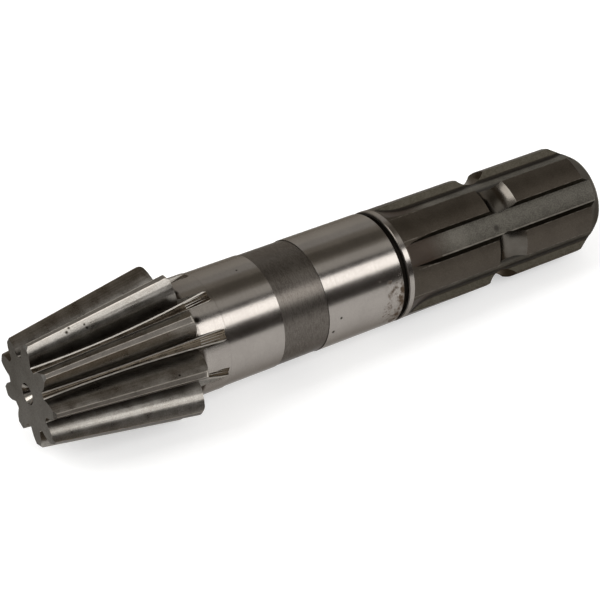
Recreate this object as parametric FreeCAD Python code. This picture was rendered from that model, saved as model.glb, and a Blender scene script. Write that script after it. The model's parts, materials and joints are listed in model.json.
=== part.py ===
import FreeCAD, Part
import math
import os

# Power take-off pinion shaft, one solid of steel.
# Frame: X is the shaft's axis, from the bevel pinion (-X) to the splined end (+X).
# The origin is the middle of the bearing seat beside the pinion, and +Z runs
# through the middle of one pinion tooth. All lengths are in millimetres.

# Lengths along the axis, from the pinion to the splined end
PINION_LENGTH = 46.25         # toe face to the foot of the heel face
NECK_LENGTH = 9.85            # unground neck between the heel and the first seat
PINION_SEAT_LENGTH = 18.3     # ground bearing seat beside the pinion
BAND_LENGTH = 15.7            # dull turned band between the two seats
REAR_SEAT_LENGTH = 27.3       # ground bearing seat beside the snap ring groove
RING_GROOVE_WIDTH = 1.85      # snap ring groove
COLLAR_WIDTH = 1.85           # narrow ground collar before the splines
SPLINE_LENGTH = 76.2          # collar to the end face

# Radii of the turned body
SEAT_R = 17.5                 # both bearing seats and the collar
NECK_R = 17.7                 # left above the seat by the grinding
BAND_R = 17.3
RING_GROOVE_R = 16.5          # bottom of the snap ring groove
EDGE_BREAK = 0.25             # bevel of the edges on both sides of the groove

# Splined end: six straight-sided keys
KEY_COUNT = 6
KEY_WIDTH = 8.69
KEY_CREST_R = 17.4            # outside of the keys
CHANNEL_FLOOR_R = 14.7        # bottom of the channels between the keys
CHANNEL_CORNER = 0.4          # root bevel along each key
CHANNEL_TURN = 51.6           # from the +Z tooth to a channel, in degrees about +X
MILL_R = 30.0                 # disc cutter that leaves the channels' curved run-out
RUN_OUT_MARGIN = 0.5          # whole land left between a run-out and the collar
LOCK_GROOVE_FROM_END = 38.0   # centre of the round groove across the keys
LOCK_GROOVE_R = 6.8           # radius of its section
LOCK_GROOVE_FLOOR_R = 14.85   # radius of the shaft at its bottom
END_FACE_R = 13.2
END_CHAMFER_LENGTH = 6.4

# Straight bevel pinion
TOOTH_COUNT = 9
HEEL_CREST_R = 23.75          # tooth tips at the large end, before rounding
TOE_CREST_R = 16.35           # tooth tips at the small end, before rounding
TOE_ROOT_R = 11.0             # bottom of the tooth gaps at the small end
HEEL_FACE_ANGLE = 11.0        # lean of the heel face from square, in degrees
HEEL_CORNER_R = 1.3
TOE_CHAMFER = 0.7
TIP_THICKNESS = 1.25          # thicknesses of a tooth at the toe face: at its tip,
CROWN_THICKNESS = 4.0         # at the middle of the flank's rounded crown,
KNEE_THICKNESS = 5.35         # at the knee where the crown ends,
DEEP_THICKNESS = 5.95         # and on the straight flank below the knee
CROWN_DEPTH = 1.65            # from the tip down to the crown's middle point
CROWN_CUTS = 4                # narrow flats that the cutter generates the crown with
KNEE_CLEARANCE = 0.91         # from the gap floor's highest line up to the knee
DEEP_FALL = 2.7               # from the knee down to the point below it
GAP_MILL_R = 280.0            # disc cutter that leaves the gaps' hollow floors
GAP_END = 1.05                # whole neck left between a gap's run-out and the first seat
GAP_RIDGE_ANGLE = 5.0         # slope of a gap floor up to the low ridge along its middle
GAP_CORNER = 0.25             # root bevel of a gap
GAP_OVERRUN = 3.0             # cutter travel past each end of a gap

# Lathe centre holes, one in each end face
CENTRE_MOUTH_R = 3.25
CENTRE_PILOT_R = 1.6
CENTRE_CONE_ANGLE = 60.0      # full angle of the countersink
CENTRE_PILOT_DEPTH = 7.0      # end face to the end of the pilot's wall
DRILL_POINT_ANGLE = 118.0

# Stations along X, worked out from the lengths
SEAT_START = -PINION_SEAT_LENGTH / 2
HEEL = SEAT_START - NECK_LENGTH
TOE = HEEL - PINION_LENGTH
BAND_START = SEAT_START + PINION_SEAT_LENGTH
REAR_SEAT_START = BAND_START + BAND_LENGTH
RING_GROOVE_START = REAR_SEAT_START + REAR_SEAT_LENGTH
COLLAR_START = RING_GROOVE_START + RING_GROOVE_WIDTH
SPLINE_START = COLLAR_START + COLLAR_WIDTH
END = SPLINE_START + SPLINE_LENGTH

X_AXIS = FreeCAD.Vector(1, 0, 0)
ORIGIN = FreeCAD.Vector(0, 0, 0)


def point(x, r):
    """A point of a turned outline: station x, radius r."""
    return FreeCAD.Vector(x, 0, r)


def turned(shape, degrees):
    """A copy of a shape turned about the shaft's axis."""
    copy = shape.copy()
    copy.rotate(ORIGIN, X_AXIS, degrees)
    return copy


def rounded_outline(corners):
    """Closed wire through (point, rounding) corners, with an arc at each rounded one."""
    edges = []
    starts = []
    ends = []
    arcs = []
    count = len(corners)
    for i in range(count):
        here, rounding = corners[i]
        to_last = (corners[i - 1][0] - here).normalize()
        to_next = (corners[(i + 1) % count][0] - here).normalize()
        if rounding == 0:
            starts.append(here)
            ends.append(here)
            arcs.append(None)
            continue
        half = to_last.getAngle(to_next) / 2
        reach = rounding / math.tan(half)
        bisector = (to_last + to_next).normalize()
        middle = here + bisector * (rounding / math.sin(half) - rounding)
        starts.append(here + to_last * reach)
        ends.append(here + to_next * reach)
        arcs.append(middle)
    for i in range(count):
        if arcs[i] is not None:
            edges.append(Part.Arc(starts[i], arcs[i], ends[i]).toShape())
        edges.append(Part.LineSegment(ends[i], starts[(i + 1) % count]).toShape())
    return Part.Wire(edges)


def heel_crest():
    """Station and radius of the sharp corner between the heel face and the tooth tips."""
    lean = math.tan(math.radians(HEEL_FACE_ANGLE))
    return HEEL - (HEEL_CREST_R - NECK_R) * lean, HEEL_CREST_R


def crest_slope():
    """Rise of the tooth tips towards the heel, in radius per length."""
    heel_x, heel_r = heel_crest()
    return (heel_r - TOE_CREST_R) / (heel_x - TOE)


def apex():
    """Station of the point on the axis that every tooth line runs to."""
    return TOE - TOE_CREST_R / crest_slope()


def cone_scale(x):
    """Size of the teeth at station x, as a multiple of their size at the toe."""
    return (x - apex()) / (TOE - apex())


def centre_hole(face, inwards):
    """Corners of a lathe centre hole: from the axis at its bottom to its mouth."""
    cone_depth = (CENTRE_MOUTH_R - CENTRE_PILOT_R) / math.tan(math.radians(CENTRE_CONE_ANGLE / 2))
    tip_depth = CENTRE_PILOT_R / math.tan(math.radians(DRILL_POINT_ANGLE / 2))
    return [
        (point(face + inwards * (CENTRE_PILOT_DEPTH + tip_depth), 0), 0),
        (point(face + inwards * CENTRE_PILOT_DEPTH, CENTRE_PILOT_R), 0),
        (point(face + inwards * cone_depth, CENTRE_PILOT_R), 0),
        (point(face, CENTRE_MOUTH_R), 0),
    ]


def turned_blank():
    """The shaft as it leaves the lathe, before teeth, channels and lock groove."""
    heel_x, heel_r = heel_crest()
    corners = centre_hole(TOE, 1)
    corners += [
        (point(TOE, TOE_CREST_R - TOE_CHAMFER), 0),
        (point(TOE + TOE_CHAMFER, TOE_CREST_R + TOE_CHAMFER * crest_slope()), 0),
        (point(heel_x, heel_r), HEEL_CORNER_R),
        (point(HEEL, NECK_R), 0),
        (point(SEAT_START, NECK_R), 0),
        (point(SEAT_START, SEAT_R), 0),
        (point(BAND_START, SEAT_R), 0),
        (point(BAND_START, BAND_R), 0),
        (point(REAR_SEAT_START, BAND_R), 0),
        (point(REAR_SEAT_START, SEAT_R), 0),
        (point(RING_GROOVE_START - EDGE_BREAK, SEAT_R), 0),
        (point(RING_GROOVE_START, SEAT_R - EDGE_BREAK), 0),
        (point(RING_GROOVE_START, RING_GROOVE_R), 0),
        (point(COLLAR_START, RING_GROOVE_R), 0),
        (point(COLLAR_START, SEAT_R - EDGE_BREAK), 0),
        (point(COLLAR_START + EDGE_BREAK, SEAT_R), 0),
        (point(SPLINE_START, SEAT_R), 0),
        (point(SPLINE_START, KEY_CREST_R), 0),
        (point(END - END_CHAMFER_LENGTH, KEY_CREST_R), 0),
        (point(END, END_FACE_R), 0),
    ]
    corners += reversed(centre_hole(END, -1))
    face = Part.Face(rounded_outline(corners))
    return face.revolve(ORIGIN, X_AXIS, 360)


def lock_groove():
    """Ring-shaped cutter of the round groove that the coupling's balls or pin lock in."""
    centre = FreeCAD.Vector(END - LOCK_GROOVE_FROM_END, 0, 0)
    return Part.makeTorus(LOCK_GROOVE_FLOOR_R + LOCK_GROOVE_R, LOCK_GROOVE_R, centre, X_AXIS)


def channel_section(x):
    """Face of one channel's section at station x, with its middle towards +Z.

    The sides are the flanks of the two keys beside it, so they are parallel to the
    keys' own middle planes and the channel widens outwards."""
    half_pitch = math.pi / KEY_COUNT
    top_r = KEY_CREST_R + 2

    def flank_point(r, side):
        angle = half_pitch - math.asin(KEY_WIDTH / 2 / r)
        return FreeCAD.Vector(x, side * r * math.sin(angle), r * math.cos(angle))

    floor_angle = half_pitch - math.asin(KEY_WIDTH / 2 / CHANNEL_FLOOR_R)
    step = CHANNEL_CORNER / CHANNEL_FLOOR_R

    def floor_point(angle):
        return FreeCAD.Vector(x, CHANNEL_FLOOR_R * math.sin(angle), CHANNEL_FLOOR_R * math.cos(angle))

    left_top = flank_point(top_r, -1)
    right_top = flank_point(top_r, 1)
    left_high = flank_point(CHANNEL_FLOOR_R + CHANNEL_CORNER, -1)
    right_high = flank_point(CHANNEL_FLOOR_R + CHANNEL_CORNER, 1)
    left_low = floor_point(step - floor_angle)
    right_low = floor_point(floor_angle - step)
    edges = [
        Part.LineSegment(left_top, left_high).toShape(),
        Part.LineSegment(left_high, left_low).toShape(),
        Part.Arc(left_low, floor_point(0), right_low).toShape(),
        Part.LineSegment(right_low, right_high).toShape(),
        Part.LineSegment(right_high, right_top).toShape(),
        Part.LineSegment(right_top, left_top).toShape(),
    ]
    return Part.Face(Part.Wire(edges))


def channel_cutter():
    """One straight channel with the curved run-out that a disc cutter leaves."""
    depth = KEY_CREST_R - CHANNEL_FLOOR_R
    run_out = math.sqrt(MILL_R ** 2 - (MILL_R - depth) ** 2)
    lift_start = SPLINE_START + RUN_OUT_MARGIN + run_out
    past_end = END + 1
    section = channel_section(lift_start)
    straight = section.extrude(FreeCAD.Vector(past_end - lift_start, 0, 0))
    mill_centre = FreeCAD.Vector(lift_start, 0, CHANNEL_FLOOR_R + MILL_R)
    sweep = math.degrees(math.acos((MILL_R - depth) / MILL_R)) + 3
    lifted = section.revolve(mill_centre, FreeCAD.Vector(0, 1, 0), sweep)
    return straight.fuse(lifted)


def gap_corners(x):
    """Corners of one tooth gap's section at station x, with its middle towards +Z.

    Every section is the toe's section scaled from the apex, so the tips and the
    flanks all run to one point, as on a straight bevel gear. A flank is rounded from
    the tip to its knee. The flanks meet below the gap's floor, which the disc cutter
    forms."""
    scale = cone_scale(x)
    half_pitch = math.pi / TOOTH_COUNT
    floor_r = max(TOE_ROOT_R, NECK_R / cone_scale(SEAT_START - GAP_END))
    knee_r = floor_r + KNEE_CLEARANCE

    def flank_point(r, thickness, side):
        angle = side * (half_pitch - math.asin(thickness / 2 / r))
        return FreeCAD.Vector(x, scale * r * math.sin(angle), scale * r * math.cos(angle))

    def side_points(side):
        tip = flank_point(TOE_CREST_R, TIP_THICKNESS, side)
        middle = flank_point(TOE_CREST_R - CROWN_DEPTH, CROWN_THICKNESS, side)
        knee = flank_point(knee_r, KNEE_THICKNESS, side)
        crown = Part.Arc(tip, middle, knee).discretize(CROWN_CUTS + 1)
        # above the tips the cutter keeps opening, clear of the blank
        top = tip + (tip - middle)
        return [top] + crown

    left = side_points(-1)
    deep = flank_point(knee_r - DEEP_FALL, DEEP_THICKNESS, -1)
    fall = deep - left[-1]
    meeting = deep - fall * (deep.y / fall.y)
    return left + [meeting] + side_points(1)[::-1]


def flat_sided(first, second):
    """Solid with flat sides between two like sections."""
    faces = [Part.Face(Part.makePolygon(first + first[:1]))]
    faces.append(Part.Face(Part.makePolygon(second + second[:1])))
    for i in range(len(first)):
        j = (i + 1) % len(first)
        side = [first[i], first[j], second[j], second[i], first[i]]
        faces.append(Part.Face(Part.makePolygon(side)))
    return Part.Solid(Part.Shell(faces))


def gap_mill():
    """The disc cutter's rim, whose lowest line passes the toe root and the run-out."""
    end_x = SEAT_START - GAP_END
    run = end_x - TOE
    rise = NECK_R - TOE_ROOT_R
    chord = math.hypot(run, rise)
    back = math.sqrt(GAP_MILL_R ** 2 - chord ** 2 / 4) / chord
    centre_x = (TOE + end_x) / 2 - rise * back
    centre_r = (TOE_ROOT_R + NECK_R) / 2 + run * back
    centre = FreeCAD.Vector(centre_x, 0, centre_r)
    half_width = HEEL_CREST_R / 2
    inner_r = GAP_MILL_R - 2 * HEEL_CREST_R
    edge_r = GAP_MILL_R + half_width * math.tan(math.radians(GAP_RIDGE_ANGLE))

    def rim_point(y, r):
        return FreeCAD.Vector(centre_x, y, centre_r - r)

    corners = [
        rim_point(-half_width, inner_r),
        rim_point(-half_width, edge_r),
        rim_point(0, GAP_MILL_R),
        rim_point(half_width, edge_r),
        rim_point(half_width, inner_r),
    ]
    profile = Part.Face(Part.makePolygon(corners + corners[:1]))
    # from past the run-out back to past the toe
    lean = math.degrees(math.asin((centre_x - TOE) / GAP_MILL_R))
    sweep = math.degrees(chord / GAP_MILL_R)
    profile.rotate(centre, FreeCAD.Vector(0, 1, 0), lean - 1.5 * sweep)
    return profile.revolve(centre, FreeCAD.Vector(0, 1, 0), 2 * sweep)


def runs_along(edge):
    """Whether an edge runs along the shaft rather than across it."""
    ends = edge.Vertexes
    across = math.hypot(ends[-1].Y - ends[0].Y, ends[-1].Z - ends[0].Z)
    return abs(ends[-1].X - ends[0].X) > across


def gap_cutter():
    """One tooth gap: straight flanks, and a hollow floor that rises out of the neck."""
    end_x = SEAT_START - GAP_END
    wedge = flat_sided(gap_corners(TOE - GAP_OVERRUN), gap_corners(end_x + GAP_OVERRUN))
    cutter = wedge.common(gap_mill())
    # the edges between the flat flanks and the floor's cones carry the root bevel
    roots = []
    for edge in cutter.Edges:
        kinds = {type(face.Surface) for face in cutter.ancestorsOfType(edge, Part.Face)}
        if kinds == {Part.Plane, Part.Cone} and runs_along(edge):
            roots.append(edge)
    return cutter.makeChamfer(GAP_CORNER, roots)


def drive_shaft():
    tools = [lock_groove()]
    channel = channel_cutter()
    for i in range(KEY_COUNT):
        tools.append(turned(channel, CHANNEL_TURN + i * 360 / KEY_COUNT))
    gap = gap_cutter()
    for i in range(TOOTH_COUNT):
        tools.append(turned(gap, (i + 0.5) * 360 / TOOTH_COUNT))
    return turned_blank().cut(tools)


os.makedirs("parts", exist_ok=True)
shaft = drive_shaft()
shaft.exportStep("parts/drive_shaft.step")
print("drive_shaft: solids", len(shaft.Solids), "valid", shaft.isValid())
print("volume mm3", round(shaft.Volume, 1))
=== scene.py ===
import bmesh
import bpy
import json
import math
from mathutils import Matrix, Vector


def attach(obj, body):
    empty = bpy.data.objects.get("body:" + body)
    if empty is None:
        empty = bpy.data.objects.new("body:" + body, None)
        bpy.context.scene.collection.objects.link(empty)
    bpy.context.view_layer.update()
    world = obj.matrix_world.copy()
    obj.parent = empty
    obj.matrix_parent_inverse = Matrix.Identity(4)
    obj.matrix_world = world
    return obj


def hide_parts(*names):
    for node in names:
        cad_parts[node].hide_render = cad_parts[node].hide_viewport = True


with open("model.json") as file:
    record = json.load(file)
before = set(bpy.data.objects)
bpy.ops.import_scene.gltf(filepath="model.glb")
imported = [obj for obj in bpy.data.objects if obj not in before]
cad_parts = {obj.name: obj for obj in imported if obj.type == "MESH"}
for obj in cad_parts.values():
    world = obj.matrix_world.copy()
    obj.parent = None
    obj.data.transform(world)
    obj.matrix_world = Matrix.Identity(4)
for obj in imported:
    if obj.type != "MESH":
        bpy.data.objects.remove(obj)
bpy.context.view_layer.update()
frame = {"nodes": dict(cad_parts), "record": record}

MM = 0.001
MICRON = 0.000001

# Stations along the shaft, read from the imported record's mounts
mounts = {m["name"]: m for m in frame["record"]["mounts"]}


def station(name):
    return mounts[name]["pos_m"][0]


def length(name):
    return mounts[name]["dims"]["length_mm"] * MM


SEAT_R = mounts["pinion_bearing_seat"]["dims"]["r_mm"] * MM
TOE_X = station("bevel_pinion")
HEEL_X = TOE_X + length("bevel_pinion")
SEAT_START = station("pinion_bearing_seat") - length("pinion_bearing_seat") / 2
BAND_START = station("pinion_bearing_seat") + length("pinion_bearing_seat") / 2
REAR_SEAT_START = station("rear_bearing_seat") - length("rear_bearing_seat") / 2
RING_GROOVE_START = station("rear_bearing_seat") + length("rear_bearing_seat") / 2
COLLAR_START = RING_GROOVE_START + length("snap_ring_groove")
END_X = station("power_take_off_spline")
SPLINE_START = END_X - length("power_take_off_spline")

# Sizes of the part that the mounts don't give. Turns are in degrees from +Z towards +Y
LOCK_GROOVE_X = END_X - 38 * MM
LOCK_GROOVE_HALF = 5.2 * MM
END_CHAMFER_X = END_X - 6.4 * MM
LAND_START_X = SPLINE_START + 13 * MM
CHANNEL_FLOOR_R = 14.7 * MM
KEY_COUNT = 6
KEY_TURN = -21.6              # turn of one key's middle
KEY_CREST_R = 17.4 * MM
KEY_HALF_WIDTH = 4.345 * MM
CENTRE_HOLE_R = 3.3 * MM
CENTRE_HOLE_DEPTH = 8.5 * MM
EDGE_BREAK = 0.3 * MM
TOOTH_COUNT = 9
TOE_CREST_R = 16.35 * MM
TOE_CREST_HALF = 0.625 * MM   # half the width of a tooth's crest at the toe
HEEL_CREST_R = 23.75 * MM
TOE_ROOT_R = 11.0 * MM
NECK_R = 17.7 * MM
GAP_RUN_OUT_X = SEAT_START - 1.05 * MM
ROOT_HOLLOW = 5.4 * MM        # four times the depth of the gap floor's hollow
CREST_DEPTH = 1.6 * MM        # a face this far under the crest belongs to the gap
FLOOR_EDGE = 0.45 * MM        # how far the gap floor's bevels rise above its middle

# How squarely a face looks away from the axis: 1 is straight out, 0 is along or round
NECK_RISE = 0.9985
KEY_CREST_RISE = 0.97
JOURNAL_RISE = 0.95
FLOOR_RISE = 0.945
CREST_RISE = 0.9
BEVEL_RISE = 0.7
LOCK_GROOVE_RISE = 0.5

# How squarely a face looks along the shaft: 1 is towards the splined end
END_FACE_AHEAD = 0.999
HEEL_FACE_AHEAD = 0.9
END_CHAMFER_AHEAD = 0.3
HEEL_ROUND_AHEAD = 0.2
TOE_FACE_AHEAD = -0.5

# Tolerances of a face's place, and the angles in degrees from which an edge stays crisp
SLACK = 0.02 * MM
WIDE_SLACK = 0.1 * MM
MERGE_DISTANCE = 0.001 * MM
SHARP_ANGLE = 21
FLANK_SHARP_ANGLE = 44

# Rust, and where the painted shade falls along the keys' feet
RUST_TURN = math.radians(-98)                            # side of the rear seat that has rusted
FRONT_CHANNEL_TURN = math.radians(KEY_TURN - 180 / KEY_COUNT)    # channel that faces the camera and the key lamp, kept free of painted shade
# tone of the painted shade along the keys' feet
FOOT_SHADE_TONE = (0.008, 0.006, 0.004)

# Small dark marks: station and turn of each, its distance from the axis, and its size
FLANK_PITS = ((-52, -3, 18.2, 0.5), (-53, -5, 17.5, 0.6), (-47.5, -5.5, 18.3, 0.45),
              (-47, -7.5, 17.4, 0.5), (-28.5, -76, 21.6, 0.45))
# Painted shade: dark spots on the toe face at the gaps' root corners
TOE_SHADE_SPOTS = ((-65, 26.5, 12, 1.1), (-65, -103, 11, 0.8), (-65, -148, 12.5, 0.5))
# Painted shade: dark spots on the neck beside the teeth's heels
NECK_SHADE_SPOTS = ((-17, -39, 17.7, 1.5), (-18, -4.5, 17.7, 1.2))
SEAT_NICKS = ((29, -87, 17.5, 0.55), (26.5, -101, 17.5, 0.65), (3, -2, 17.5, 0.4))
CHANNEL_PITS = ((90.5, -55, 14.7, 1.3), (99, 23, 16.7, 0.6))

# Strokes that the tooth cutter left where the gaps run out in the neck
STROKES_PER_GAP = 3
STROKE_LENGTH = 7.2 * MM
STROKE_R = 0.17 * MM
STROKE_SPACING = 0.85 * MM
STROKE_START_X = GAP_RUN_OUT_X - 7.1 * MM
STROKE_START_R = 16.2 * MM
STROKE_SIDES = 6
STROKE_STRAY = 0.3            # how far a stroke strays from its lane, as a share of the spacing
STROKE_LEAST_SCALE = 0.6
STROKE_SEED = 3
INDEX_LIFT = 0.01             # keeps a stroke's index clear of rounding when it is divided

# The studio
SENSOR_WIDTH = 36.0
FOCAL_PIXELS = 2028.2         # focal length that was fitted to a picture 600 pixels wide
PICTURE_PIXELS = 600
TOP_TURN = 58.9               # turn, as the lamp and the cards count it, at which +Z lies
FLOOR_HALF = 6.0
FLOOR_GAP = 0.02 * MM         # what the floor stays clear of the shaft
FLOOR_GLOW = 0.45             # share of white that the camera sees on an unlit floor
CARD_LIFT = 0.2 * MM          # how far a card on the floor lies above it
CEILING_START = -2.5          # stations between which the cards over the shaft reach
CEILING_END = 4.5


# Node helpers
def new_material(name):
    """A material with a Principled shader, and its node tree."""
    material = bpy.data.materials.new(name)
    material.use_nodes = True
    tree = material.node_tree
    tree.nodes.clear()
    output = tree.nodes.new("ShaderNodeOutputMaterial")
    shader = tree.nodes.new("ShaderNodeBsdfPrincipled")
    tree.links.new(shader.outputs["BSDF"], output.inputs["Surface"])
    return material, tree, shader


def coordinates(tree, location=(0, 0, 0)):
    """Object coordinates in metres, shifted by a location."""
    source = tree.nodes.new("ShaderNodeTexCoord")
    mapping = tree.nodes.new("ShaderNodeMapping")
    mapping.inputs["Location"].default_value = location
    tree.links.new(source.outputs["Object"], mapping.inputs["Vector"])
    return mapping.outputs["Vector"]


def surface_point(tree):
    """X, Y and Z of the point on the surface, in metres, by name."""
    source = tree.nodes.new("ShaderNodeTexCoord")
    split = tree.nodes.new("ShaderNodeSeparateXYZ")
    tree.links.new(source.outputs["Object"], split.inputs["Vector"])
    return split.outputs


def from_axis(tree, point):
    """The point's offset from the axis, as a vector."""
    flat = tree.nodes.new("ShaderNodeCombineXYZ")
    tree.links.new(point["Y"], flat.inputs["Y"])
    tree.links.new(point["Z"], flat.inputs["Z"])
    return flat.outputs["Vector"]


def shaft_coordinates(tree, along, around):
    """Coordinates that follow the shaft: its length, and its direction round the axis."""
    point = surface_point(tree)
    unit = tree.nodes.new("ShaderNodeVectorMath")
    unit.operation = "NORMALIZE"
    tree.links.new(from_axis(tree, point), unit.inputs[0])
    spread = tree.nodes.new("ShaderNodeVectorMath")
    spread.operation = "SCALE"
    spread.inputs["Scale"].default_value = around
    tree.links.new(unit.outputs["Vector"], spread.inputs[0])
    line = tree.nodes.new("ShaderNodeCombineXYZ")
    tree.links.new(times(tree, point["X"], along), line.inputs["X"])
    total = tree.nodes.new("ShaderNodeVectorMath")
    total.operation = "ADD"
    tree.links.new(spread.outputs["Vector"], total.inputs[0])
    tree.links.new(line.outputs["Vector"], total.inputs[1])
    return total.outputs["Vector"]


def math_node(tree, operation, first, second=None, third=None):
    node = tree.nodes.new("ShaderNodeMath")
    node.operation = operation
    for i, value in enumerate((first, second, third)):
        if value is None:
            continue
        if isinstance(value, (int, float)):
            node.inputs[i].default_value = value
        else:
            tree.links.new(value, node.inputs[i])
    return node.outputs["Value"]


def times(tree, first, second):
    return math_node(tree, "MULTIPLY", first, second)


def minus(tree, first, second):
    return math_node(tree, "SUBTRACT", first, second)


def noise(tree, vector, scale, detail, roughness):
    node = tree.nodes.new("ShaderNodeTexNoise")
    node.inputs["Scale"].default_value = scale
    node.inputs["Detail"].default_value = detail
    node.inputs["Roughness"].default_value = roughness
    tree.links.new(vector, node.inputs["Vector"])
    return node.outputs["Fac"]


def ramp(tree, value, low, high, to_low=0.0, to_high=1.0):
    """Value stretched from low..high to to_low..to_high, held at both ends."""
    node = tree.nodes.new("ShaderNodeMapRange")
    node.inputs["From Min"].default_value = low
    node.inputs["From Max"].default_value = high
    node.inputs["To Min"].default_value = to_low
    node.inputs["To Max"].default_value = to_high
    tree.links.new(value, node.inputs["Value"])
    return node.outputs["Result"]


def blend(tree, factor, first, second):
    """First colour where factor is 0, second where it is 1. Either may be a node's output."""
    node = tree.nodes.new("ShaderNodeMix")
    node.data_type = "RGBA"
    for socket, value in (("A", first), ("B", second)):
        target = [i for i in node.inputs if i.name == socket and i.type == "RGBA"][0]
        if isinstance(value, tuple):
            target.default_value = (*value, 1.0)
        else:
            tree.links.new(value, target)
    tree.links.new(factor, node.inputs["Factor"])
    return [o for o in node.outputs if o.type == "RGBA"][0]


def bump(tree, shader, height, depth):
    """Relief of the surface: height 0..1 times depth in metres."""
    node = tree.nodes.new("ShaderNodeBump")
    node.inputs["Strength"].default_value = 1.0
    node.inputs["Distance"].default_value = depth
    tree.links.new(height, node.inputs["Height"])
    tree.links.new(node.outputs["Normal"], shader.inputs["Normal"])


# The place of the point on the surface
def surface_x(tree):
    """Its station along the shaft."""
    return surface_point(tree)["X"]


def surface_radius(tree):
    """Its distance from the axis."""
    reach = tree.nodes.new("ShaderNodeVectorMath")
    reach.operation = "LENGTH"
    tree.links.new(from_axis(tree, surface_point(tree)), reach.inputs[0])
    return reach.outputs["Value"]


def surface_turn(tree):
    """Its turn about the axis, from +Z towards +Y, in radians."""
    point = surface_point(tree)
    return math_node(tree, "ARCTAN2", point["Y"], point["Z"])


def key_across(tree):
    """Its distance from the middle plane of the nearest key."""
    from_first = minus(tree, surface_turn(tree), math.radians(KEY_TURN))
    from_key = math_node(tree, "PINGPONG", from_first, math.pi / KEY_COUNT)
    return times(tree, math_node(tree, "SINE", from_key), surface_radius(tree))


# Wear, rust, marks, painted shade and painted highlights, each a mask over a finish
def line_mask(tree, distance, half):
    """1 where the distance is 0, fading to 0 at half on both sides."""
    return ramp(tree, math_node(tree, "ABSOLUTE", distance), 0.0, half, 1.0, 0.0)


def broken(tree, mask, scale, low, high):
    """A mask broken up by noise, so that a line or patch looks worn."""
    field = noise(tree, coordinates(tree), scale, detail=4.0, roughness=0.6)
    return times(tree, mask, ramp(tree, field, low, high))


def lay(tree, mask, share, colour, tone):
    """A tone laid over the colour by the mask times a share."""
    return blend(tree, times(tree, mask, share), colour, tone)


def rougher(tree, mask, amount, roughness):
    """The roughness, raised by the mask times an amount."""
    return math_node(tree, "MULTIPLY_ADD", mask, amount, roughness)


def crest_wear_and_highlight(tree, colour, roughness):
    """A bright line along both edges of every tooth's crest: worn edges, and a painted highlight where
    the edges catch the light.
    """
    from_tooth = math_node(tree, "PINGPONG", surface_turn(tree), math.pi / TOOTH_COUNT)
    from_edge = minus(tree, from_tooth, TOE_CREST_HALF / TOE_CREST_R)
    mask = line_mask(tree, times(tree, from_edge, surface_radius(tree)), half=0.22 * MM)
    mask = broken(tree, mask, scale=420.0, low=0.25, high=0.5)
    return lay(tree, mask, 0.8, colour, (0.4, 0.37, 0.33)), roughness


def key_wear_and_highlight(tree, colour, roughness):
    """A light line along both edges of every key: worn edges, and a painted highlight where the edges
    catch the light.
    """
    mask = line_mask(tree, minus(tree, key_across(tree), KEY_HALF_WIDTH), half=0.28 * MM)
    mask = broken(tree, mask, scale=520.0, low=0.42, high=0.62)
    return lay(tree, mask, 0.6, colour, (0.2, 0.18, 0.155)), roughness


def seat_line(tree, colour, roughness):
    """The fine dark line where the neck ends and the ground seat begins."""
    mask = line_mask(tree, minus(tree, surface_x(tree), SEAT_START), half=0.2 * MM)
    mask = broken(tree, mask, scale=160.0, low=0.35, high=0.6)
    return lay(tree, mask, 0.45, colour, (0.05, 0.045, 0.04)), roughness


def heel_corner_shade(tree, colour, roughness):
    """Painted shade, darker and rougher, in the corner between the neck and the teeth's heel faces."""
    near = ramp(tree, surface_x(tree), HEEL_X + 0.9 * MM, HEEL_X + 1.9 * MM, 1.0, 0.0)
    mask = broken(tree, near, scale=260.0, low=0.35, high=0.5)
    colour = blend(tree, mask, colour, (0.05, 0.042, 0.035))
    return colour, rougher(tree, mask, 0.25, roughness)


def groove_rust(tree, colour, roughness):
    """Brown rust on the rear seat, beside the snap ring groove and on its lower side."""
    x = surface_x(tree)
    near = ramp(tree, x, RING_GROOVE_START - 11 * MM, RING_GROOVE_START - 1.5 * MM)
    facing = math_node(tree, "COSINE", minus(tree, surface_turn(tree), RUST_TURN))
    low_side = ramp(tree, facing, 0.7, 0.97)
    on_seat = math_node(tree, "LESS_THAN", x, RING_GROOVE_START)
    share = times(tree, times(tree, near, low_side), on_seat)
    place = coordinates(tree, location=(0.011, 0.004, 0))
    field = noise(tree, place, 430.0, detail=6.0, roughness=0.68)
    level = math_node(tree, "MULTIPLY_ADD", share, 0.25, field)
    mask = times(tree, ramp(tree, level, 0.65, 0.8), ramp(tree, share, 0.0, 0.2))
    colour = lay(tree, mask, 0.9, colour, (0.06, 0.038, 0.022))
    return colour, rougher(tree, mask, 0.3, roughness)


def root_shade(tree, colour, roughness):
    """Painted shade that darkens the lower half of the tooth flanks, near the gap floors."""
    x = surface_x(tree)
    share = ramp(tree, x, TOE_X, GAP_RUN_OUT_X)
    rise = math_node(tree, "MULTIPLY_ADD", share, ROOT_HOLLOW, NECK_R - TOE_ROOT_R - ROOT_HOLLOW)
    root = math_node(tree, "MULTIPLY_ADD", share, rise, TOE_ROOT_R)
    above = minus(tree, surface_radius(tree), root)
    mask = ramp(tree, above, 1.2 * MM, 4.4 * MM, 0.75, 0.0)
    mask = times(tree, mask, math_node(tree, "LESS_THAN", x, HEEL_X))
    return blend(tree, mask, colour, (0.04, 0.033, 0.026)), roughness


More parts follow.
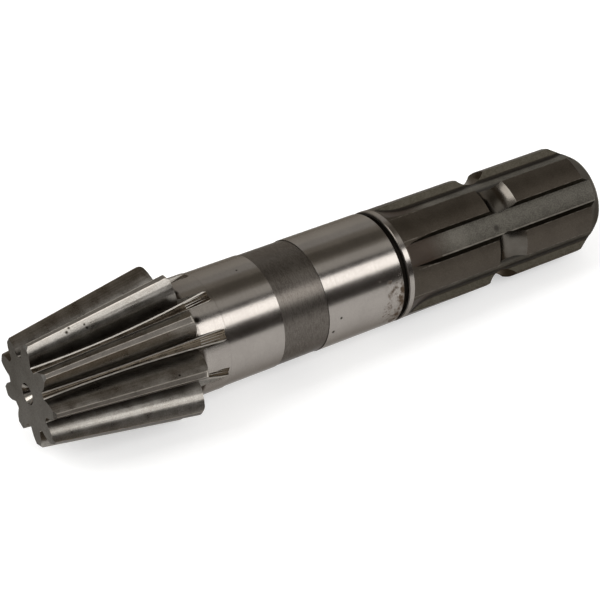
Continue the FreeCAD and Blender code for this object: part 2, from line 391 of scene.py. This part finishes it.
def channel_start(tree, colour, roughness):
    """Painted shade darkens the channels where they rise out of the shaft, and they are lighter beside
    that.
    """
    x = surface_x(tree)
    lighter_patch = line_mask(tree, minus(tree, x, LAND_START_X + 7 * MM), half=7 * MM)
    lighter_patch = broken(tree, lighter_patch, scale=300.0, low=0.2, high=0.7)
    colour = lay(tree, lighter_patch, 0.5, colour, (0.15, 0.138, 0.118))
    dark = ramp(tree, x, LAND_START_X - 4 * MM, LAND_START_X + 5 * MM, 0.95, 0.0)
    return blend(tree, dark, colour, (0.032, 0.021, 0.014)), roughness


def front_channel(tree):
    """1 in the channel that faces the camera and the key lamp, 0 in the others."""
    facing = math_node(tree, "COSINE", minus(tree, surface_turn(tree), FRONT_CHANNEL_TURN))
    return math_node(tree, "GREATER_THAN", facing, 0.85)


def foot_shade(tree, colour, roughness):
    """Painted shade along both feet of the keys, save in the channel that faces the camera."""
    start = KEY_HALF_WIDTH + 1.2 * MM
    mask = ramp(tree, key_across(tree), start, start + 1 * MM, 0.9, 0.0)
    mask = times(tree, mask, minus(tree, 1.0, front_channel(tree)))
    return blend(tree, mask, colour, FOOT_SHADE_TONE), roughness


def foot_highlight(tree, colour, roughness):
    """A fine painted highlight along one foot of the channel that faces the camera."""
    from_first = minus(tree, surface_turn(tree), math.radians(KEY_TURN))
    from_key = math_node(tree, "FLOORED_MODULO", from_first, 2 * math.pi / KEY_COUNT)
    from_foot = minus(tree, times(tree, from_key, surface_radius(tree)), KEY_HALF_WIDTH + 0.2 * MM)
    mask = broken(tree, line_mask(tree, from_foot, half=0.22 * MM), scale=300.0, low=0.25, high=0.55)
    past_start = math_node(tree, "GREATER_THAN", surface_x(tree), LAND_START_X)
    mask = times(tree, times(tree, mask, past_start), front_channel(tree))
    return lay(tree, mask, 0.45, colour, (0.26, 0.24, 0.21)), roughness


def corner_shade_line(tree, colour, roughness):
    """A painted shade line along the foot of every key's flank."""
    start = CHANNEL_FLOOR_R + 0.35 * MM
    mask = ramp(tree, surface_radius(tree), start, start + 0.4 * MM, 0.92, 0.0)
    return blend(tree, mask, colour, FOOT_SHADE_TONE), roughness


def rim_wear(tree, colour, roughness):
    """A light worn rim where the long chamfer meets the end face."""
    near = ramp(tree, surface_x(tree), END_X - 1.1 * MM, END_X - 0.3 * MM)
    mask = broken(tree, near, scale=400.0, low=0.3, high=0.55)
    return lay(tree, mask, 0.7, colour, (0.27, 0.255, 0.23)), roughness


def marks(places):
    """Small dark marks at places: station, turn, distance from the axis and size."""
    def marked(tree, colour, roughness):
        source = tree.nodes.new("ShaderNodeTexCoord")
        mask = None
        for at_x, at_turn, at_r, size in places:
            angle = math.radians(at_turn)
            apart = tree.nodes.new("ShaderNodeVectorMath")
            apart.operation = "DISTANCE"
            spot_place = Vector((at_x, at_r * math.sin(angle), at_r * math.cos(angle))) * MM
            apart.inputs[1].default_value = spot_place
            tree.links.new(source.outputs["Object"], apart.inputs[0])
            spot = ramp(tree, apart.outputs["Value"], 0.4 * size * MM, size * MM, 1.0, 0.0)
            mask = spot if mask is None else math_node(tree, "MAXIMUM", mask, spot)
        return blend(tree, mask, colour, (0.02, 0.017, 0.013)), roughness
    return marked


# Steel finishes
def steel(name, dark, light, rough, mottle=45.0, streak=(2500.0, 6.0), streak_depth=0.0,
          pit_depth=0.0, streak_tone=0.0, grain=0.0, metal=1.0, details=()):
    """Bare steel: mottled between two tones, with tool marks and small pits.

    rough is the least and the most roughness, and metal is how metallic it is. streak is
    how fine the tool marks are along the shaft and round it; streak_tone and grain are how
    much the marks and a fine speckle change the tone. streak_depth and pit_depth are in
    metres. details are wear, rust, marks, painted shade and painted highlights that are laid over it."""
    material, tree, shader = new_material(name)
    shader.inputs["Metallic"].default_value = metal
    shader.inputs["Specular Tint"].default_value = (0.5, 0.48, 0.46, 1)
    place = coordinates(tree)
    cloud = noise(tree, place, mottle, detail=5.0, roughness=0.6)
    tool_marks = noise(tree, shaft_coordinates(tree, *streak), 1.0, detail=3.0, roughness=0.6)
    tone = ramp(tree, cloud, 0.32, 0.68)
    if streak_tone:
        streaks = ramp(tree, tool_marks, 0.3, 0.7, -streak_tone, streak_tone)
        tone = math_node(tree, "ADD", tone, streaks)
    if grain:
        speckle = noise(tree, place, 2600.0, detail=2.0, roughness=0.6)
        tone = math_node(tree, "ADD", tone, ramp(tree, speckle, 0.3, 0.7, -grain, grain))
    colour = blend(tree, tone, dark, light)
    roughness = ramp(tree, cloud, 0.3, 0.7, rough[0], rough[1])
    for detail in details:
        colour, roughness = detail(tree, colour, roughness)
    tree.links.new(colour, shader.inputs["Base Color"])
    tree.links.new(roughness, shader.inputs["Roughness"])
    depth = max(streak_depth, pit_depth)
    if depth:
        dents = noise(tree, place, 1400.0, detail=3.0, roughness=0.6)
        height = times(tree, tool_marks, streak_depth / depth)
        height = math_node(tree, "MULTIPLY_ADD", dents, pit_depth / depth, height)
        bump(tree, shader, height, depth)
    return material


def journal_settings():
    """The ground seats, the band between them, the snap ring groove and the neck."""
    return {
        "ground_seat": dict(
            dark=(0.232, 0.214, 0.197), light=(0.266, 0.246, 0.226), rough=(0.17, 0.22), mottle=90.0,
            streak=(4200.0, 5.0), streak_depth=2 * MICRON, streak_tone=0.3, grain=0.5,
            details=(seat_line, groove_rust, marks(SEAT_NICKS))),
        "turned_band": dict(
            dark=(0.07, 0.061, 0.053), light=(0.106, 0.095, 0.084), rough=(0.25, 0.33),
            streak=(3000.0, 9.0), streak_depth=20 * MICRON, pit_depth=8 * MICRON, streak_tone=0.6,
            grain=0.5, metal=0.85),
        "pinion_neck": dict(
            dark=(0.225, 0.207, 0.19), light=(0.266, 0.246, 0.226), rough=(0.16, 0.21), mottle=150.0,
            streak=(3000.0, 5.0), streak_depth=3 * MICRON, streak_tone=0.2, grain=0.5,
            details=(seat_line, heel_corner_shade, marks(NECK_SHADE_SPOTS))),
        # The snap ring groove is painted near black: painted shade in the recess.
        "ring_groove": dict(
            dark=(0.006, 0.005, 0.004), light=(0.012, 0.01, 0.008), rough=(0.5, 0.6),
            streak=(5000.0, 4.0), streak_depth=5 * MICRON),
    }


def pinion_settings():
    """The teeth, the gaps between them, the toe face and the centre holes."""
    return {
        "tooth_flank": dict(
            dark=(0.16, 0.148, 0.132), light=(0.25, 0.238, 0.218), rough=(0.26, 0.36), mottle=260.0,
            streak=(30.0, 60.0), streak_depth=12 * MICRON, pit_depth=8 * MICRON, streak_tone=0.3,
            grain=0.4, details=(root_shade, crest_wear_and_highlight, marks(FLANK_PITS))),
        "root_bevel": dict(
            dark=(0.26, 0.245, 0.22), light=(0.4, 0.375, 0.34), rough=(0.34, 0.44), mottle=420.0,
            streak=(60.0, 60.0), streak_depth=3 * MICRON, pit_depth=4 * MICRON, metal=0.35),
        "tooth_crest": dict(
            dark=(0.074, 0.066, 0.057), light=(0.115, 0.104, 0.091), rough=(0.36, 0.46), mottle=160.0,
            streak=(700.0, 30.0), streak_depth=4 * MICRON, pit_depth=6 * MICRON, grain=0.4, metal=0.25,
            details=(crest_wear_and_highlight,)),
        "heel_round": dict(
            dark=(0.2, 0.185, 0.165), light=(0.5, 0.47, 0.42), rough=(0.3, 0.4), mottle=420.0,
            streak=(700.0, 30.0), streak_depth=4 * MICRON, pit_depth=10 * MICRON),
        "heel_face": dict(
            dark=(0.06, 0.052, 0.043), light=(0.1, 0.088, 0.074), rough=(0.34, 0.44), mottle=200.0,
            streak=(30.0, 40.0), streak_depth=4 * MICRON, pit_depth=8 * MICRON, grain=0.4),
        "gap_floor": dict(
            dark=(0.02, 0.014, 0.009), light=(0.125, 0.102, 0.075), rough=(0.34, 0.46), mottle=300.0,
            streak=(26.0, 46.0), streak_depth=50 * MICRON, pit_depth=10 * MICRON, streak_tone=1.1,
            grain=0.5, metal=0.7),
        "toe_face": dict(
            dark=(0.092, 0.088, 0.081), light=(0.14, 0.134, 0.124), rough=(0.45, 0.55), mottle=110.0,
            streak=(10.0, 300.0), streak_depth=3 * MICRON, pit_depth=8 * MICRON, grain=0.7,
            details=(marks(TOE_SHADE_SPOTS),)),
        "centre_hole": dict(
            dark=(0.05, 0.046, 0.042), light=(0.4, 0.37, 0.33), rough=(0.12, 0.22), mottle=300.0,
            streak=(3000.0, 4.0), streak_depth=10 * MICRON),
    }


def spline_settings():
    """The keys, the channels, the lock groove and the end chamfer."""
    return {
        "key_land": dict(
            dark=(0.037, 0.03, 0.0225), light=(0.055, 0.0455, 0.0355), rough=(0.3, 0.4), mottle=90.0,
            streak=(1600.0, 12.0), streak_depth=3 * MICRON, pit_depth=2 * MICRON, grain=0.5, metal=0.7,
            details=(key_wear_and_highlight,)),
        "key_flank": dict(
            dark=(0.026, 0.023, 0.017), light=(0.046, 0.041, 0.032), rough=(0.34, 0.44), mottle=300.0,
            streak=(400.0, 30.0), streak_depth=4 * MICRON, pit_depth=4 * MICRON, grain=0.6,
            details=(corner_shade_line,)),
        "channel_floor": dict(
            dark=(0.043, 0.039, 0.031), light=(0.078, 0.072, 0.059), rough=(0.46, 0.56), mottle=420.0,
            streak=(900.0, 30.0), streak_depth=8 * MICRON, pit_depth=14 * MICRON, grain=1.0, metal=0.3,
            details=(channel_start, foot_shade, foot_highlight, marks(CHANNEL_PITS))),
        "lock_groove": dict(
            dark=(0.068, 0.061, 0.052), light=(0.098, 0.09, 0.079), rough=(0.18, 0.24), mottle=150.0,
            streak=(2600.0, 8.0), streak_depth=4 * MICRON, pit_depth=2 * MICRON),
        "end_chamfer": dict(
            dark=(0.075, 0.07, 0.062), light=(0.12, 0.113, 0.102), rough=(0.36, 0.46), mottle=310.0,
            streak=(2200.0, 6.0), streak_depth=6 * MICRON, pit_depth=6 * MICRON, grain=0.5,
            details=(rim_wear,)),
    }


def make_finishes():
    """Every finish of the shaft, by name."""
    finishes = {}
    for settings in (journal_settings(), pinion_settings(), spline_settings()):
        for name in settings:
            finishes[name] = steel(name, **settings[name])
    return finishes


# The shaft
def finish_of(face):
    """The name of the finish that a face of the shaft has, from its place and its slope."""
    centre = face.calc_center_median()
    x = centre.x
    r = math.hypot(centre.y, centre.z)
    outward = Vector((0, centre.y, centre.z)).normalized()
    rise = face.normal.dot(outward)
    ahead = face.normal.x
    near_end = x < TOE_X + CENTRE_HOLE_DEPTH or x > END_X - CENTRE_HOLE_DEPTH
    if near_end and r < CENTRE_HOLE_R and abs(ahead) < END_FACE_AHEAD:
        return "centre_hole"
    if x < HEEL_X + SLACK:
        return pinion_finish(x, r, rise, ahead)
    if x < SEAT_START - SLACK:
        return neck_finish(rise)
    if x < SPLINE_START - SLACK:
        return journal_finish(x, r, rise)
    return spline_finish(x, r, rise, ahead)


def pinion_finish(x, r, rise, ahead):
    if ahead < TOE_FACE_AHEAD:
        return "toe_face"
    if ahead > HEEL_FACE_AHEAD:
        return "heel_face"
    share = (x - TOE_X) / (HEEL_X - TOE_X)
    crest_r = TOE_CREST_R + (HEEL_CREST_R - TOE_CREST_R) * share
    rounded = ahead > HEEL_ROUND_AHEAD
    if rise > CREST_RISE or rounded:
        if r < crest_r - CREST_DEPTH:
            return "gap_floor" if rise > FLOOR_RISE else "root_bevel"
        return "heel_round" if rounded else "tooth_crest"
    if rise > BEVEL_RISE and r < floor_radius(x) + FLOOR_EDGE:
        return "root_bevel"
    return "tooth_flank"


def floor_radius(x):
    """Radius of the hollow gap floor's middle at station x."""
    share = (x - TOE_X) / (GAP_RUN_OUT_X - TOE_X)
    chord_r = TOE_ROOT_R + (NECK_R - TOE_ROOT_R) * share
    return chord_r - ROOT_HOLLOW * share * (1 - share)


def neck_finish(rise):
    """The neck itself, or the tooth gaps that run out in it."""
    if rise > NECK_RISE:
        return "pinion_neck"
    if rise > FLOOR_RISE:
        return "gap_floor"
    return "root_bevel" if rise > BEVEL_RISE else "tooth_flank"


def journal_finish(x, r, rise):
    """The seats, the band, the snap ring groove and the collar."""
    if x < RING_GROOVE_START - SLACK:
        dull = BAND_START < x < REAR_SEAT_START or rise < JOURNAL_RISE
        return "turned_band" if dull else "ground_seat"
    if x < COLLAR_START and r < SEAT_R - EDGE_BREAK:
        return "ring_groove"
    return "ground_seat" if rise > JOURNAL_RISE else "turned_band"


def spline_finish(x, r, rise, ahead):
    if ahead > END_CHAMFER_AHEAD and x > END_CHAMFER_X - WIDE_SLACK:
        return "end_chamfer"
    between_radii = CHANNEL_FLOOR_R + WIDE_SLACK < r < KEY_CREST_R - SLACK
    if abs(x - LOCK_GROOVE_X) < LOCK_GROOVE_HALF and between_radii and rise > LOCK_GROOVE_RISE:
        return "lock_groove"
    if rise > KEY_CREST_RISE and r > KEY_CREST_R - WIDE_SLACK:
        return "key_land"
    return "channel_floor" if rise > BEVEL_RISE else "key_flank"


def mark_sharp_edges(mesh, flank):
    """Keeps an edge crisp where two finishes meet or where the surface really turns.

    A tooth's flank is one rounded profile, so it stays smooth up to the crest."""
    for edge in mesh.edges:
        edge.smooth = True
        if not edge.is_manifold:
            continue
        first, second = edge.link_faces
        meets = first.material_index != second.material_index
        limit = FLANK_SHARP_ANGLE if first.material_index == flank else SHARP_ANGLE
        if meets or edge.calc_face_angle() > math.radians(limit):
            edge.smooth = False


def finished_shaft(finishes):
    """The shaft with its finishes, one mesh in place of the plain node."""
    plain = frame["nodes"]["drive_shaft"]
    mesh = bmesh.new()
    mesh.from_mesh(plain.data)
    bmesh.ops.remove_doubles(mesh, verts=mesh.verts, dist=MERGE_DISTANCE)
    names = sorted(finishes)
    for face in mesh.faces:
        face.material_index = names.index(finish_of(face))
        face.smooth = True
    mark_sharp_edges(mesh, names.index("tooth_flank"))
    data = bpy.data.meshes.new("finished_drive_shaft")
    mesh.to_mesh(data)
    mesh.free()
    for name in names:
        data.materials.append(finishes[name])
    shaft = bpy.data.objects.new("finished_drive_shaft", data)
    bpy.context.scene.collection.objects.link(shaft)
    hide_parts("drive_shaft")
    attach(shaft, "root")


# Cutter strokes, repeated over every gap by Geometry Nodes
def stroke_inputs(tree):
    """The tree's named inputs, by name."""
    wanted = {
        "Gaps": ("NodeSocketInt", TOOTH_COUNT),
        "Strokes per gap": ("NodeSocketInt", STROKES_PER_GAP),
        "Stroke length": ("NodeSocketFloat", STROKE_LENGTH),
        "Stroke radius": ("NodeSocketFloat", STROKE_R),
        "Stroke spacing": ("NodeSocketFloat", STROKE_SPACING),
        "Seed": ("NodeSocketInt", STROKE_SEED),
    }
    tree.interface.new_socket("Geometry", in_out="INPUT", socket_type="NodeSocketGeometry")
    values = {}
    for name in wanted:
        kind, value = wanted[name]
        socket = tree.interface.new_socket(name, in_out="INPUT", socket_type=kind)
        values[socket.identifier] = value
    tree.interface.new_socket("Geometry", in_out="OUTPUT", socket_type="NodeSocketGeometry")
    return values


def random_value(tree, low, high, seed, index):
    node = tree.nodes.new("FunctionNodeRandomValue")
    node.data_type = "FLOAT"
    low_socket = [i for i in node.inputs if i.name == "Min" and i.type == "VALUE"][0]
    high_socket = [i for i in node.inputs if i.name == "Max" and i.type == "VALUE"][0]
    low_socket.default_value = low
    high_socket.default_value = high
    tree.links.new(index, node.inputs["ID"])
    tree.links.new(seed, node.inputs["Seed"])
    return [o for o in node.outputs if o.type == "VALUE" and o.enabled][0]


def stroke_places(tree, given):
    """Where each stroke starts, and its turn about the shaft's axis."""
    index = tree.nodes.new("GeometryNodeInputIndex").outputs["Index"]
    strokes = given["Strokes per gap"]
    safe_index = math_node(tree, "ADD", index, INDEX_LIFT)
    gap = math_node(tree, "FLOOR", math_node(tree, "DIVIDE", safe_index, strokes))
    lane = minus(tree, index, times(tree, gap, strokes))
    middle = math_node(tree, "DIVIDE", minus(tree, strokes, 1), 2)
    stray = random_value(tree, -STROKE_STRAY, STROKE_STRAY, given["Seed"], index)
    lane = math_node(tree, "ADD", minus(tree, lane, middle), stray)
    across = times(tree, lane, given["Stroke spacing"])
    start = tree.nodes.new("ShaderNodeCombineXYZ")
    start.inputs["X"].default_value = STROKE_START_X
    start.inputs["Z"].default_value = STROKE_START_R
    tree.links.new(across, start.inputs["Y"])
    pitch = math_node(tree, "DIVIDE", 2 * math.pi, given["Gaps"])
    turn = times(tree, math_node(tree, "ADD", gap, 0.5), pitch)
    round_axis = tree.nodes.new("ShaderNodeVectorRotate")
    round_axis.rotation_type = "X_AXIS"
    tree.links.new(start.outputs["Vector"], round_axis.inputs["Vector"])
    tree.links.new(turn, round_axis.inputs["Angle"])
    return index, turn, round_axis.outputs["Vector"]


def stroke_shape(tree, given):
    """One stroke: a thin spike that leans up along the gap's floor."""
    spike = tree.nodes.new("GeometryNodeMeshCone")
    spike.inputs["Vertices"].default_value = STROKE_SIDES
    spike.inputs["Radius Top"].default_value = 0.0
    tree.links.new(given["Stroke radius"], spike.inputs["Radius Bottom"])
    tree.links.new(given["Stroke length"], spike.inputs["Depth"])
    lean = math.atan2(NECK_R - STROKE_START_R, GAP_RUN_OUT_X - STROKE_START_X)
    laid = tree.nodes.new("GeometryNodeTransform")
    laid.inputs["Rotation"].default_value = (0, math.pi / 2 - lean, 0)
    tree.links.new(spike.outputs["Mesh"], laid.inputs["Geometry"])
    return laid.outputs["Geometry"]


def stroke_tree(material):
    tree = bpy.data.node_groups.new("cutter_strokes", "GeometryNodeTree")
    values = stroke_inputs(tree)
    given = tree.nodes.new("NodeGroupInput").outputs
    index, turn, place = stroke_places(tree, given)
    points = tree.nodes.new("GeometryNodePoints")
    total = times(tree, given["Gaps"], given["Strokes per gap"])
    tree.links.new(total, points.inputs["Count"])
    tree.links.new(place, points.inputs["Position"])
    spread = tree.nodes.new("GeometryNodeInstanceOnPoints")
    tree.links.new(points.outputs["Points"], spread.inputs["Points"])
    tree.links.new(stroke_shape(tree, given), spread.inputs["Instance"])
    facing = tree.nodes.new("ShaderNodeCombineXYZ")
    tree.links.new(turn, facing.inputs["X"])
    tree.links.new(facing.outputs["Vector"], spread.inputs["Rotation"])
    size = random_value(tree, STROKE_LEAST_SCALE, 1.0, given["Seed"], index)
    tree.links.new(size, spread.inputs["Scale"])
    real = tree.nodes.new("GeometryNodeRealizeInstances")
    tree.links.new(spread.outputs["Instances"], real.inputs["Geometry"])
    coat = tree.nodes.new("GeometryNodeSetMaterial")
    coat.inputs["Material"].default_value = material
    tree.links.new(real.outputs["Geometry"], coat.inputs["Geometry"])
    result = tree.nodes.new("NodeGroupOutput")
    tree.links.new(coat.outputs["Geometry"], result.inputs["Geometry"])
    return tree, values


def cutter_strokes(finishes):
    """The strokes as one plain mesh on the shaft."""
    tree, values = stroke_tree(finishes["root_bevel"])
    strokes = bpy.data.objects.new("cutter_strokes", bpy.data.meshes.new("cutter_strokes"))
    modifier = strokes.modifiers.new("cutter_strokes", "NODES")
    modifier.node_group = tree
    for identifier in values:
        modifier[identifier] = values[identifier]
    bpy.context.scene.collection.objects.link(strokes)
    evaluated = strokes.evaluated_get(bpy.context.evaluated_depsgraph_get())
    plain = bpy.data.meshes.new_from_object(evaluated)
    strokes.modifiers.clear()
    strokes.data = plain
    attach(strokes, "root")


# The studio
def round_shaft(turn):
    """Direction square to the shaft's axis, at a turn about it in degrees."""
    angle = math.radians(turn - TOP_TURN)
    return Vector((0, math.sin(angle), math.cos(angle)))


def make_camera():
    right = Vector((0.830260, -0.556750, 0.026418))
    down = Vector((-0.304022, -0.492083, -0.815736))
    ahead = Vector((0.467160, 0.669241, -0.577821))
    place = Vector((-257.908, -406.914, 349.296)) * MM
    camera = bpy.data.cameras.new("camera")
    camera.sensor_width = SENSOR_WIDTH
    camera.lens = SENSOR_WIDTH * FOCAL_PIXELS / PICTURE_PIXELS
    camera.clip_start = 0.02
    camera.clip_end = 30.0
    holder = bpy.data.objects.new("camera", camera)
    turn = Matrix((right, -down, -ahead)).transposed().to_4x4()
    holder.matrix_world = Matrix.Translation(place) @ turn
    bpy.context.scene.collection.objects.link(holder)
    bpy.context.scene.camera = holder


def white_to_camera(tree, shader, output):
    """Shows pure white to the camera and in reflections where the surface is fully lit."""
    rays = tree.nodes.new("ShaderNodeLightPath")
    seen = math_node(tree, "MAXIMUM", rays.outputs["Is Camera Ray"], rays.outputs["Is Glossy Ray"])
    seen = math_node(tree, "MAXIMUM", seen, rays.outputs["Is Transmission Ray"])
    glow = tree.nodes.new("ShaderNodeEmission")
    glow.inputs["Color"].default_value = (1, 1, 1, 1)
    tree.links.new(times(tree, seen, FLOOR_GLOW), glow.inputs["Strength"])
    total = tree.nodes.new("ShaderNodeAddShader")
    tree.links.new(shader.outputs["BSDF"], total.inputs[0])
    tree.links.new(glow.outputs["Emission"], total.inputs[1])
    tree.links.new(total.outputs["Shader"], output.inputs["Surface"])


def floor_point(x, y, lift):
    """A point of the floor, which leans to touch the pinion's heel and a key's end."""
    heel_rest = Vector((-20.4, 0, -22.44)) * MM
    key_rest = Vector((125.6, 0, -17.27)) * MM
    lean = (key_rest.z - heel_rest.z) / (key_rest.x - heel_rest.x)
    return (x, y, heel_rest.z + lean * (x - heel_rest.x) + lift)


def floor_corners(start_x, end_x, near_y, far_y, lift):
    """The corners of a rectangle on the floor, in order round it."""
    near = [floor_point(start_x, near_y, lift), floor_point(end_x, near_y, lift)]
    far = [floor_point(end_x, far_y, lift), floor_point(start_x, far_y, lift)]
    return near + far


def flat_piece(name, corners, place):
    """A rectangle as an object of the scene."""
    data = bpy.data.meshes.new(name)
    data.from_pydata(corners, [], [(0, 1, 2, 3)])
    piece = bpy.data.objects.new(name, data)
    piece.matrix_world = place
    bpy.context.scene.collection.objects.link(piece)
    return piece


def make_floor():
    """A plain white floor that the shaft lies on."""
    corners = floor_corners(-FLOOR_HALF, FLOOR_HALF, -FLOOR_HALF, FLOOR_HALF, -FLOOR_GAP)
    floor = flat_piece("floor", corners, Matrix.Identity(4))
    material, tree, shader = new_material("white_floor")
    shader.inputs["Base Color"].default_value = (0.66, 0.66, 0.66, 1)
    shader.inputs["Roughness"].default_value = 0.9
    shader.inputs["Specular IOR Level"].default_value = 0.1
    output = [n for n in tree.nodes if n.type == "OUTPUT_MATERIAL"][0]
    white_to_camera(tree, shader, output)
    floor.data.materials.append(material)


def strip_place(turn, distance, middle_x):
    """Placement of a strip beside the shaft: its length along X, its face to the shaft."""
    outward = round_shaft(turn)
    along = Vector((1, 0, 0))
    across = outward.cross(along)
    turn_matrix = Matrix((along, across, outward)).transposed().to_4x4()
    place = outward * distance + Vector((middle_x, 0, 0))
    return Matrix.Translation(place) @ turn_matrix


def strip_width(distance, half_turn):
    return 2 * distance * math.tan(math.radians(half_turn))


def soft_lamp(name, wide, tall, radiance, place):
    """A rectangular lamp, as bright all over as its radiance says."""
    lamp = bpy.data.lights.new(name, "AREA")
    lamp.shape = "RECTANGLE"
    lamp.size = wide
    lamp.size_y = tall
    lamp.energy = radiance * math.pi * wide * tall
    holder = bpy.data.objects.new(name, lamp)
    holder.matrix_world = place
    bpy.context.scene.collection.objects.link(holder)


def softbox(name, low, high, distance, start_x, end_x, radiance):
    """A lamp that fills the turns from low to high, seen from the shaft."""
    tall = strip_width(distance, (high - low) / 2)
    place = strip_place((low + high) / 2, distance, (start_x + end_x) / 2)
    soft_lamp(name, end_x - start_x, tall, radiance, place)


def side_softbox(name, direction, distance, wide, tall, radiance):
    """A lamp that faces the shaft from one side."""
    turn = direction.to_track_quat("Z", "Y").to_matrix().to_4x4()
    place = Matrix.Translation(direction.normalized() * distance) @ turn
    soft_lamp(name, wide, tall, radiance, place)


def floor_card(name, start_x, end_x, near_y, far_y, tone):
    """A card that lies on the floor beside the shaft."""
    corners = floor_corners(start_x, end_x, near_y, far_y, CARD_LIFT)
    board(name, corners, Matrix.Identity(4), tone)


def card(name, low, high, distance, start_x, end_x, tone):
    """A card beside the lamp, which fills the turns from low to high."""
    x = (end_x - start_x) / 2
    y = strip_width(distance, (high - low) / 2) / 2
    place = strip_place((low + high) / 2, distance, (start_x + end_x) / 2)
    board(name, [(-x, -y, 0), (x, -y, 0), (x, y, 0), (-x, y, 0)], place, tone)


def board(name, corners, place, tone):
    """A plain board that only the polished steel shows."""
    plate = flat_piece(name, corners, place)
    plate.visible_camera = False
    plate.visible_diffuse = False
    plate.visible_shadow = False
    material, tree, shader = new_material(name)
    shader.inputs["Base Color"].default_value = (0, 0, 0, 1)
    shader.inputs["Roughness"].default_value = 1.0
    shader.inputs["Specular IOR Level"].default_value = 0.0
    shader.inputs["Emission Color"].default_value = (*tone, 1)
    shader.inputs["Emission Strength"].default_value = 1.0
    plate.data.materials.append(material)


def make_light():
    """The world, two soft lamps, and the cards that the polished steel shows.

    A softbox and a card are given by their turns from and to, distance and stations from
    and to, and a floor card by its stations and its near and far edge."""
    world = bpy.data.worlds.new("studio")
    bpy.context.scene.world = world
    world.use_nodes = True
    background = world.node_tree.nodes["Background"]
    background.inputs["Color"].default_value = (1.0, 0.98, 0.95, 1)
    background.inputs["Strength"].default_value = 0.62
    softbox("key_softbox", 0.5, 23.0, 1.8, -0.6, 3.0, 3.3)
    card("front_dark", -40.0, -0.5, 0.5, -1.0, 2.0, (0.05, 0.042, 0.036))
    card("lamp_edge", 24.0, 34.0, 2.0, CEILING_START, CEILING_END, (0.06, 0.055, 0.05))
    card("ceiling_glow", 36.0, 52.0, 2.3, CEILING_START, CEILING_END, (0.86, 0.84, 0.8))
    card("ceiling_half_dark", 53.0, 96.0, 2.3, CEILING_START, CEILING_END, (0.36, 0.335, 0.295))
    card("ceiling_dark", 60.0, 82.0, 2.2, CEILING_START, CEILING_END, (0.17, 0.155, 0.13))
    card("back_glow", 116.0, 165.0, 2.3, CEILING_START, CEILING_END, (0.78, 0.76, 0.72))
    card("ceiling_left_dark", 36.0, 88.0, 0.5, -0.05, 0.16, (0.13, 0.1, 0.07))
    card("back_left_dark", 88.0, 150.0, 0.5, -0.05, 0.2, (0.22, 0.18, 0.13))
    floor_card("front_floor_dark", -0.3, -0.004, -0.8, -0.02, (0.27, 0.22, 0.168))
    floor_card("spline_floor_dark", 0.078, 0.2, -0.022, 0.02, (0.25, 0.21, 0.165))
    floor_card("back_floor_dark", -0.3, 0.8, 0.03, 1.2, (0.58, 0.55, 0.5))
    side_softbox("left_softbox", Vector((-0.68, 0.16, 0.72)), 1.6, 0.8, 1.2, 5.0)


finishes = make_finishes()
finished_shaft(finishes)
cutter_strokes(finishes)
make_camera()
make_floor()
make_light()
bpy.context.scene.view_settings.view_transform = "Standard"
